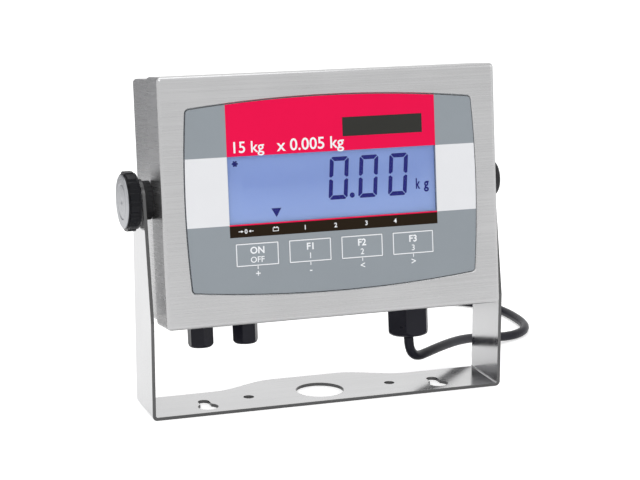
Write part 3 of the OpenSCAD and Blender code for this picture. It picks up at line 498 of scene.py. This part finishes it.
def on_panel(depth):
    """From a drawing in x and y, seen face on, to the head's front at a depth in millimetres."""
    upright = Matrix.Rotation(math.radians(90), 4, "X")
    return HEAD @ Matrix.Translation((0, depth * MM, 0)) @ upright


def raise_flat(bm, height):
    """Turns the flat faces of a drawing into a thin closed plate that stands off its plane."""
    made = bmesh.ops.extrude_face_region(bm, geom=list(bm.faces))
    up = [v for v in made["geom"] if isinstance(v, bmesh.types.BMVert)]
    bmesh.ops.translate(bm, verts=up, vec=(0, 0, height))
    bmesh.ops.recalc_face_normals(bm, faces=list(bm.faces))
    for face in bm.faces:
        face.smooth = False


def add_bar(bm, x, y, w, h):
    """A flat rectangle, sizes in millimetres."""
    place = Matrix.Translation((x * MM, y * MM, 0)) @ Matrix.Diagonal((w * MM, h * MM, 1, 1))
    bmesh.ops.create_grid(bm, x_segments=1, y_segments=1, size=0.5, matrix=place)


def add_disc(bm, x, y, r, sides, turn=0.0):
    place = Matrix.Translation((x * MM, y * MM, 0)) @ Matrix.Rotation(turn, 4, "Z")
    bmesh.ops.create_circle(bm, cap_ends=True, segments=sides, radius=r * MM, matrix=place)


def add_outline(bm, x, y, w, h, line, corner):
    """A rectangular outline with rounded corners."""
    small = bmesh.new()
    add_bar(small, 0, 0, w, h)
    bmesh.ops.bevel(
        small, geom=list(small.verts), offset=corner * MM, segments=3, profile=0.5,
        affect="VERTICES", material=-1,
    )
    inner = list(small.faces)
    bmesh.ops.inset_region(
        small, faces=inner, thickness=line * MM, use_boundary=True, use_even_offset=True
    )
    bmesh.ops.delete(small, geom=inner, context="FACES_ONLY")
    add_drawing(bm, small, x, y)


def add_drawing(bm, small, x, y):
    """Moves a small drawing's faces into a larger one."""
    small.transform(Matrix.Translation((x * MM, y * MM, 0)))
    mesh = bpy.data.meshes.new("drawing")
    small.to_mesh(mesh)
    small.free()
    bm.from_mesh(mesh)
    bpy.data.meshes.remove(mesh)


def mesh_of(curve):
    """The mesh that a curve or a text makes. The curve is removed."""
    piece = bpy.data.objects.new("temporary", curve)
    bpy.context.scene.collection.objects.link(piece)
    bpy.context.view_layer.update()
    mesh = bpy.data.meshes.new_from_object(
        piece.evaluated_get(bpy.context.evaluated_depsgraph_get())
    )
    bpy.data.objects.remove(piece)
    bpy.data.curves.remove(curve)
    return mesh


def add_text(bm, words, x, y, height, bold, max_width=None, align="CENTER"):
    """Words of a given capital height in millimetres, with their middle or left end at a place."""
    curve = bpy.data.curves.new("words", "FONT")
    curve.body = words
    curve.align_x = align
    curve.offset = bold
    curve.resolution_u = 3
    mesh = mesh_of(curve)
    xs = [v.co.x for v in mesh.vertices]
    scale = height * MM / CAPITAL
    wide = (max(xs) - min(xs)) * scale
    squeeze = min(1.0, max_width * MM / wide) if max_width else 1.0
    middle = (max(xs) + min(xs)) / 2 if align == "CENTER" else min(xs)
    mesh.transform(
        Matrix.Translation((x * MM, y * MM, 0))
        @ Matrix.Diagonal((scale * squeeze, scale, 1, 1))
        @ Matrix.Translation((-middle, -CAPITAL / 2, 0))
    )
    bm.from_mesh(mesh)
    bpy.data.meshes.remove(mesh)


def spot(x, y, radius, turn):
    """A place at a share of a turn round another."""
    angle = 2 * math.pi * turn
    return x + radius * math.cos(angle), y + radius * math.sin(angle)


def make_print(name, draw, depth, material, body):
    """Draws flat shapes, raises them to a thin plate and sets it on the head at a depth."""
    bm = bmesh.new()
    draw(bm)
    bmesh.ops.remove_doubles(bm, verts=list(bm.verts), dist=1e-7)
    for face in bm.faces:
        face.normal_update()
        if face.normal.z < 0:
            face.normal_flip()
    raise_flat(bm, sizes().ink_height)
    return finish_mesh(name, bm, [material], body, on_panel(depth))


# Operators


def aimed(piece, direction):
    """Turns a camera or a lamp so that it looks along a direction."""
    piece.rotation_mode = "QUATERNION"
    piece.rotation_quaternion = direction.to_track_quat("-Z", "Y")


def make_camera(scene):
    data = bpy.data.cameras.new("camera")
    data.sensor_width = 36
    data.lens = CAMERA_LENS
    data.clip_start, data.clip_end = 0.01, 50
    camera = bpy.data.objects.new("camera", data)
    scene.collection.objects.link(camera)
    camera.location = CAMERA_PLACE
    level = math.cos(CAMERA_PITCH)
    aimed(camera, Vector((
        math.sin(CAMERA_YAW) * level, math.cos(CAMERA_YAW) * level, -math.sin(CAMERA_PITCH)
    )))
    scene.camera = camera


def make_world(scene):
    """Soft light on the object, and plain white to the camera, in gloss and through glass."""
    world = bpy.data.worlds.new("studio")
    scene.world = world
    world.use_nodes = True
    s = Nodes(world.node_tree)
    s.tree.nodes.clear()
    rays = s.node("LightPath").outputs
    shown = s.math("ADD", rays["Is Camera Ray"], rays["Is Glossy Ray"])
    mix = s.node("MixShader")
    s.link(s.math("ADD", shown, rays["Is Transmission Ray"], clamp=True), mix.inputs[0])
    for socket, strength in zip(mix.inputs[1:], (WORLD_LIGHT, WORLD_SEEN)):
        white = s.node("Background")
        white.inputs["Color"].default_value = (1, 1, 1, 1)
        white.inputs["Strength"].default_value = strength
        s.link(white.outputs[0], socket)
    s.link(mix.outputs[0], s.node("OutputWorld").inputs[0])


def matt(name, rgb):
    s = Shader(name)
    s.base(rgb, 0, 0.9)
    s.set(Specular_IOR_Level=0.0)
    return s


def make_floor():
    """A white floor that keeps the object's shadow and is brighter to the camera and in gloss."""
    bm = bmesh.new()
    bmesh.ops.create_grid(bm, x_segments=2, y_segments=2, size=FLOOR_HALF)
    s = matt("floor_white", (0.95, 0.95, 0.95))
    s.set(Emission_Color=(1, 1, 1, 1))
    rays = s.node("LightPath").outputs
    seen = s.math("MULTIPLY", rays["Is Camera Ray"], FLOOR_SEEN)
    mirrored = s.math("MULTIPLY", rays["Is Glossy Ray"], FLOOR_MIRRORED)
    glow = s.math("ADD", s.math("ADD", seen, mirrored), FLOOR_GLOW)
    s.link(glow, s.surface.inputs["Emission Strength"])
    floor = finish_mesh("floor", bm, [s.material], None, Matrix.Translation(FLOOR_PLACE))


def make_card():
    """An upright dark card behind the object, which only the steel's gloss shows."""
    bm = bmesh.new()
    bmesh.ops.create_grid(
        bm, x_segments=1, y_segments=1, size=0.5,
        matrix=Matrix.Translation(CARD_PLACE) @ Matrix.Rotation(math.radians(90), 4, "X")
        @ Matrix.Diagonal((*CARD_SIZE, 1, 1)),
    )
    card = finish_mesh("card", bm, [matt("card_dark", CARD_GREY).material], None)
    card.visible_camera = card.visible_diffuse = False
    card.visible_shadow = card.visible_transmission = False


def make_lamp(scene, name, place, size, power):
    light = bpy.data.lights.new(name, "AREA")
    light.shape = "SQUARE"
    light.size = size
    light.energy = power
    lamp = bpy.data.objects.new(name, light)
    scene.collection.objects.link(lamp)
    lamp.location = place
    aimed(lamp, LAMP_AIM - Vector(place))


class OBJECT_OT_indicator_stage(bpy.types.Operator):
    """Make the camera, the backdrop light, the floor, the card and the lamps"""

    bl_idname = "object.indicator_stage"
    bl_label = "Stage"

    def execute(self, context):
        context.scene.view_settings.view_transform = "Standard"
        make_camera(context.scene)
        make_world(context.scene)
        make_floor()
        make_card()
        for lamp in LAMPS:
            make_lamp(context.scene, *lamp)
        return {"FINISHED"}


def smooth_through(points, step):
    """Points along a rounded curve through the given ones, about one step apart."""
    line = [Vector(p) for p in points]
    ends = [line[0] * 2 - line[1], *line, line[-1] * 2 - line[-2]]
    made = []
    for a, b, c, d in zip(ends, ends[1:], ends[2:], ends[3:]):
        pieces = max(1, round((c - b).length / step))
        for i in range(pieces):
            t = i / pieces
            made.append(
                0.5 * (2 * b + (c - a) * t + (2 * a - 5 * b + 4 * c - d) * t ** 2
                       + (3 * b - a - 3 * c + d) * t ** 3)
            )
    made.append(line[-1])
    return made


def coil_point(turn):
    """A place on the coil, which winds inwards, climbs a layer and winds outwards again."""
    angle = math.radians(-90 - 360 * turn)
    radius = COIL_RADIUS - COIL_PITCH * min(turn, COIL_TURNS - turn)
    climb = min(max((turn - COIL_TURNS / 2 + CLIMB_TURNS / 2) / CLIMB_TURNS, 0), 1)
    return Vector((
        COIL_CENTRE[0] + radius * math.cos(angle), COIL_CENTRE[1] + radius * math.sin(angle),
        COIL_LOW + COIL_LAYER * climb,
    ))


def lead_route():
    """The lead's middle line in metres, from the gland to the plug."""
    coil = [coil_point(i / COIL_STEPS) for i in range(COIL_STEPS * COIL_TURNS + 1)]
    return [p * MM for p in smooth_through([*DROP, *RUN, *coil, *TAIL], ROUTE_STEP)]


class OBJECT_OT_indicator_lead(bpy.types.Operator):
    """Make the mains lead, and give its tie and its plug their materials"""

    bl_idname = "object.indicator_lead"
    bl_label = "Mains lead"

    def execute(self, context):
        route = lead_route()
        diameter = sizes().lead_diameter
        rubber = moulded("lead_rubber", colours().lead, 0.3, 1400, 0.00004, 0.10, 0.0002, 0.15)
        curve = bpy.data.curves.new("mains_lead", "CURVE")
        curve.dimensions = "3D"
        curve.bevel_depth = diameter / 2
        curve.bevel_resolution = 4
        curve.use_fill_caps = True
        spline = curve.splines.new("POLY")
        spline.points.add(len(route) - 1)
        for point, place in zip(spline.points, route):
            point.co = (*place, 1)
        mesh = mesh_of(curve)
        bm = bmesh.new()
        bm.from_mesh(mesh)
        bpy.data.meshes.remove(mesh)
        bmesh.ops.remove_doubles(bm, verts=list(bm.verts), dist=1e-6)
        bmesh.ops.recalc_face_normals(bm, faces=list(bm.faces))
        lead = finish_mesh("mains_lead", bm, [rubber], None, None, smooth=True)
        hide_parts("power_cord_drop", "power_cord_run", "cord_coil", "cord_tail")
        # It moves only between the gland and the arm, and so keeps behind the arm at both limits
        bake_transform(lead)
        dress(moulded("tie_plastic", (0.03, 0.03, 0.033), 0.4), "cord_tie")
        dress(moulded("plug_plastic", (0.022, 0.022, 0.025), 0.42, 1800, 0.00005), "plug_body")
        dress(turned("blade_metal", (0.70, 0.62, 0.42), (0, 0, 0)), "plug_blades")
        dress(rubber, "cord_inner_end")
        return {"FINISHED"}


class OBJECT_OT_indicator_steel(bpy.types.Operator):
    """Give the housing, the bracket and the fasteners their steel"""

    bl_idname = "object.indicator_steel"
    bl_label = "Steel"

    def execute(self, context):
        rgb = colours().steel
        head = brushed("housing_steel", rgb, HEAD_GRAIN, HEAD_SIDE_GRAIN, TILT)
        dress(head, "front_housing", "rear_housing")
        # The bracket's steel carries painted shade on its cut edges and hole walls
        strip = brushed(
            "bracket_steel", shade(rgb, 1.2), BASE_GRAIN, ARM_GRAIN, rough=(0.10, 0.20),
            painted_edges=True,
        )
        dress(strip, "mounting_bracket")
        small = brushed(
            "fastener_steel", shade(rgb, 0.9), EVEN_GRAIN, EVEN_GRAIN, rough=(0.2, 0.35)
        )
        dress(
            small, "cover_posts", "housing_screws", "board_standoffs", "board_screws", "snap_domes",
            "battery_strap", "pivot_boss_left", "pivot_boss_right", "knob_washer", "knob_stud",
            "gland_locknuts",
        )
        return {"FINISHED"}


def film_face():
    """The panel film's own front as a flat drawing, seen face on."""
    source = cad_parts["front_overlay"].data.copy()
    for layer in ("custom_normal", "sharp_face", "sharp_edge"):
        if layer in source.attributes:
            source.attributes.remove(source.attributes[layer])
    bm = bmesh.new()
    bm.from_mesh(source)
    bpy.data.meshes.remove(source)
    bmesh.ops.remove_doubles(bm, verts=list(bm.verts), dist=1e-7)
    bm.transform(on_panel(FILM_FRONT).inverted())
    bm.normal_update()
    back = [f for f in bm.faces if f.normal.z < 0.9]
    bmesh.ops.delete(bm, geom=back, context="FACES")
    return bm


def colour_field(place):
    """Which of the panel's colours a place has: 0 panel, 1 title, 2 strip or 3 band."""
    inside = abs(place.x) < FIELD_HALF
    if inside and (place.y > WINDOW_HIGH or STRIP_HIGH < place.y < WINDOW_LOW):
        return 1
    if inside and STRIP_LOW < place.y < STRIP_HIGH:
        return 2
    if not inside and BAND_LOW < place.y < WINDOW_HIGH:
        return 3
    return 0


def strip_marks(bm):
    """The strip's signs, a nought between arrows and a small box, and its numbers."""
    y = STRIP_MIDDLE
    add_text(bm, "0", ZERO_SIGN, y, 2.6, STRIP_BOLD)
    for side in (-1, 1):
        add_bar(bm, ZERO_SIGN + side * 3.8, y, 1.6, 0.4)
        add_disc(bm, ZERO_SIGN + side * 2.5, y, 0.9, 3, math.radians(90 * side))
    for side in (1, -1):
        add_bar(bm, BOX_SIGN, y + side * 0.95, 3.6, 0.35)
    for side in (-1, 1):
        add_bar(bm, BOX_SIGN + side * 1.65, y, 0.35, 1.9)
    for side in (-1, 1):
        add_bar(bm, BOX_SIGN + side * 0.8, y + 1.4, 0.7, 0.5)
    for words, x in STRIP_NUMBERS:
        add_text(bm, words, x, y, 2.7, STRIP_BOLD)


def title_marks(bm):
    for words, x, height, bold, max_width in TITLE_WORDS:
        add_text(bm, words, x, TITLE_MIDDLE, height, bold, max_width, "LEFT")


def key_marks(bm):
    """The short line and the sign under each key."""
    for x in KEY_ROW:
        add_bar(bm, x, KEY_FOOT - 1.1, 0.5, 1.9)
    for sign, x in zip(KEY_SIGNS, KEY_ROW):
        add_text(bm, sign, x, KEY_FOOT - 4.6, 4, 0.012)


class OBJECT_OT_indicator_panel(bpy.types.Operator):
    """Print the panel's colour fields and words over its film"""

    bl_idname = "object.indicator_panel"
    bl_label = "Panel print"

    def execute(self, context):
        c = colours()
        film = printed("panel_film", c.panel)
        dress(film, "front_overlay")
        bm = film_face()
        cuts = [((side * FIELD_HALF, 0), (1, 0)) for side in (-1, 1)]
        cuts += [
            ((0, y), (0, 1)) for y in (STRIP_LOW, STRIP_HIGH, BAND_LOW, FIELD_CUT, WINDOW_HIGH)
        ]
        for (x, y), across in cuts:
            bmesh.ops.bisect_plane(
                bm, geom=list(bm.verts) + list(bm.edges) + list(bm.faces), dist=1e-7,
                plane_co=(x * MM, y * MM, 0), plane_no=(*across, 0),
            )
        for face in bm.faces:
            face.material_index = colour_field(face.calc_center_median() / MM)
        raise_flat(bm, sizes().ink_height)
        materials = [
            film, printed("title_red", c.title), printed("strip_dark", c.strip),
            printed("band_white", c.band),
        ]
        finish_mesh("panel_print", bm, materials, "housing", on_panel(FILM_FRONT))
        ink = printed("legend_ink", c.ink)
        marks = (
            ("strip_marks", strip_marks), ("title_marks", title_marks), ("key_marks", key_marks)
        )
        for name, draw in marks:
            make_print(name, draw, FILM_FRONT - LEGEND_LIFT, ink, "housing")
        return {"FINISHED"}


class OBJECT_OT_indicator_keys(bpy.types.Operator):
    """Print the keys' outlines and legends"""

    bl_idname = "object.indicator_keys"
    bl_label = "Keys"

    def execute(self, context):
        c = colours()
        film = printed("key_film", shade(c.panel, 1.02))
        ink = printed("key_ink", c.ink)
        for i, (x, (upper, lower)) in enumerate(zip(KEY_ROW, KEY_LEGENDS), 1):
            dress(film, f"key_{i}")

            def draw(bm):
                add_outline(bm, x, KEY_MIDDLE, *KEY_SIZE, KEY_LINE, KEY_CORNER)
                add_text(bm, upper, x, KEY_MIDDLE + 2.6, 4, 0.025)
                add_text(bm, lower, x, KEY_MIDDLE - 3.0, 3.5, 0.008)

            make_print(f"key_{i}_legend", draw, FILM_FRONT, ink, f"key_{i}")
        return {"FINISHED"}


def add_shape(bm, points):
    """A flat face through points given in millimetres."""
    bm.faces.new([bm.verts.new((x * MM, y * MM, 0)) for x, y in points])


def add_zero(bm, x, y, height):
    """A seven-bar nought whose middle is at x, y: six mitred bars with their outer corners cut."""
    half_w, half_h, thick = height * DIGIT_HALF_SHARE, height / 2, height * BAR_SHARE
    inner = half_w - thick
    cut, gap = thick * BAR_CUT_SHARE, BAR_GAP
    across = [
        (half_w - cut, half_h), (half_w - (cut + gap) / 2, half_h - (cut - gap) / 2),
        (inner - gap, half_h - thick),
    ]
    upright = [
        (half_w, half_h - cut), (half_w - (cut - gap) / 2, half_h - (cut + gap) / 2),
        (inner, half_h - thick - gap), (inner, BAR_SPLIT + thick * 0.45),
        (half_w - thick * 0.45, BAR_SPLIT), (half_w, BAR_SPLIT + thick * 0.2),
    ]
    small = bmesh.new()
    for up in (-1, 1):
        right = [(a, up * b) for a, b in across]
        left = [(-a, b) for a, b in reversed(right)]
        add_shape(small, right + left)
        for side in (-1, 1):
            add_shape(small, [(side * a, up * b) for a, b in upright])
    shear = Matrix.Identity(4)
    shear[0][1] = DIGIT_LEAN
    small.transform(shear)
    add_drawing(bm, small, x, y)


def reading(bm):
    """Three noughts with a point, the unit, a star at the left and an arrow under it."""
    height = sizes().digit_height / MM
    for x in DIGITS:
        add_zero(bm, x, DIGIT_MIDDLE, height)
    add_disc(bm, *POINT, 20)
    for letter, x, width in UNIT:
        add_text(bm, letter, x, UNIT_MIDDLE, UNIT_HEIGHT, 0.03, width)
    for i in range(STAR_POINTS):
        add_disc(bm, *spot(*STAR, STAR_REACH, i / STAR_POINTS), 0.62, 8)
    add_disc(bm, *STAR, 1.25, 16)
    add_disc(bm, *ARROW, 3, math.radians(180))


class OBJECT_OT_indicator_display(bpy.types.Operator):
    """Light the display and draw its reading"""

    bl_idname = "object.indicator_display"
    bl_label = "Display"

    def execute(self, context):
        c = colours()
        dress(lit("display_blue", c.display, 0.14), "lcd_glass")
        dress(clear("window_clear", (0.5, 0.55, 0.6), 0.03), "display_window")
        dress(lit("backlight_white", (0.85, 0.88, 0.92), 0.2), "lcd_backlight")
        dress(printed("label_dark", srgb(50, 50, 47), 0.3), "label_window")
        dark = printed("segment_blue", c.segment, 0.5)
        make_print("display_reading", reading, LCD_FRONT, dark, "housing")
        return {"FINISHED"}


class OBJECT_OT_indicator_fittings(bpy.types.Operator):
    """Give the knob, glands, seals and inner parts their materials"""

    bl_idname = "object.indicator_fittings"
    bl_label = "Fittings"

    def execute(self, context):
        nylon = moulded("gland_nylon", srgb(20, 20, 31), 0.3, 1800, shine=0.22)
        dress(
            nylon, "power_gland_body", "power_gland_nut", "gland_1_body", "gland_1_nut",
            "gland_2_body", "gland_2_nut",
        )
        dress(moulded("plug_nylon", srgb(30, 30, 32), 0.5), "gland_1_plug", "gland_2_plug")
        knob = moulded("knob_plastic", srgb(12, 13, 19), 0.22, 1500, 0.00002, shine=0.18)
        dress(knob, "clamp_knob")
        dress(moulded("black_steel", srgb(30, 30, 33), 0.32, 900, 0.00001), "pivot_screw")
        dress(turned("cap_metal", (0.44, 0.45, 0.47), PIVOT), "knob_cap")
        dress(
            moulded("seal_rubber", srgb(26, 26, 28), 0.6, 1200, 0.00006), "housing_gasket",
            "friction_washer_left", "friction_washer_right", "power_gland_seal", "gland_washers",
        )
        dress(moulded("case_black", srgb(30, 30, 33)), "lcd_frame", "beeper")
        dress(moulded("case_white", (0.8, 0.8, 0.78), 0.5), "keypad_backing")
        board = moulded("board_green", (0.03, 0.17, 0.09), 0.3, 500, 0.00005, 0.2)
        dress(board, "main_board", "power_board")
        dress(moulded("chip_black", (0.03, 0.03, 0.033), 0.5), "board_components")
        dress(moulded("terminal_green", (0.04, 0.22, 0.10), 0.4), "terminal_block")
        dress(moulded("tape_yellow", (0.55, 0.42, 0.08), 0.4), "transformer")
        dress(moulded("sleeve_blue", (0.03, 0.05, 0.2), 0.3), "capacitor")
        dress(moulded("battery_grey", (0.05, 0.06, 0.07)), "battery_pack")
        dress(moulded("ribbon_amber", (0.6, 0.28, 0.05), 0.3), "keypad_ribbon")
        dress(moulded("wire_green", (0.10, 0.22, 0.04), 0.4), "mains_leads")
        return {"FINISHED"}


class VIEW3D_PT_indicator(bpy.types.Panel):
    """The indicator's steps"""

    bl_label = "Weighing Indicator"
    bl_idname = "VIEW3D_PT_indicator"
    bl_space_type = "VIEW_3D"
    bl_region_type = "UI"
    bl_category = "Indicator"

    def draw(self, context):
        for group in (sizes(), colours()):
            for key in group.bl_rna.properties.keys():
                if key not in {"rna_type", "name"}:
                    self.layout.prop(group, key)
        for step in STEPS:
            self.layout.operator(step.bl_idname)


STEPS = (
    OBJECT_OT_indicator_stage,
    OBJECT_OT_indicator_lead,
    OBJECT_OT_indicator_steel,
    OBJECT_OT_indicator_panel,
    OBJECT_OT_indicator_keys,
    OBJECT_OT_indicator_display,
    OBJECT_OT_indicator_fittings,
)
CLASSES = (IndicatorSizes, IndicatorColours, *STEPS, VIEW3D_PT_indicator)


def register():
    for made in CLASSES:
        bpy.utils.register_class(made)
    bpy.types.Scene.indicator_sizes = PointerProperty(type=IndicatorSizes)
    bpy.types.Scene.indicator_colours = PointerProperty(type=IndicatorColours)


def unregister():
    del bpy.types.Scene.indicator_colours
    del bpy.types.Scene.indicator_sizes
    for made in reversed(CLASSES):
        bpy.utils.unregister_class(made)


def main():
    register()
    bpy.ops.object.indicator_stage()
    bpy.ops.object.indicator_lead()
    bpy.ops.object.indicator_steel()
    bpy.ops.object.indicator_panel()
    bpy.ops.object.indicator_keys()
    bpy.ops.object.indicator_display()
    bpy.ops.object.indicator_fittings()


if __name__ == "__main__":
    main()
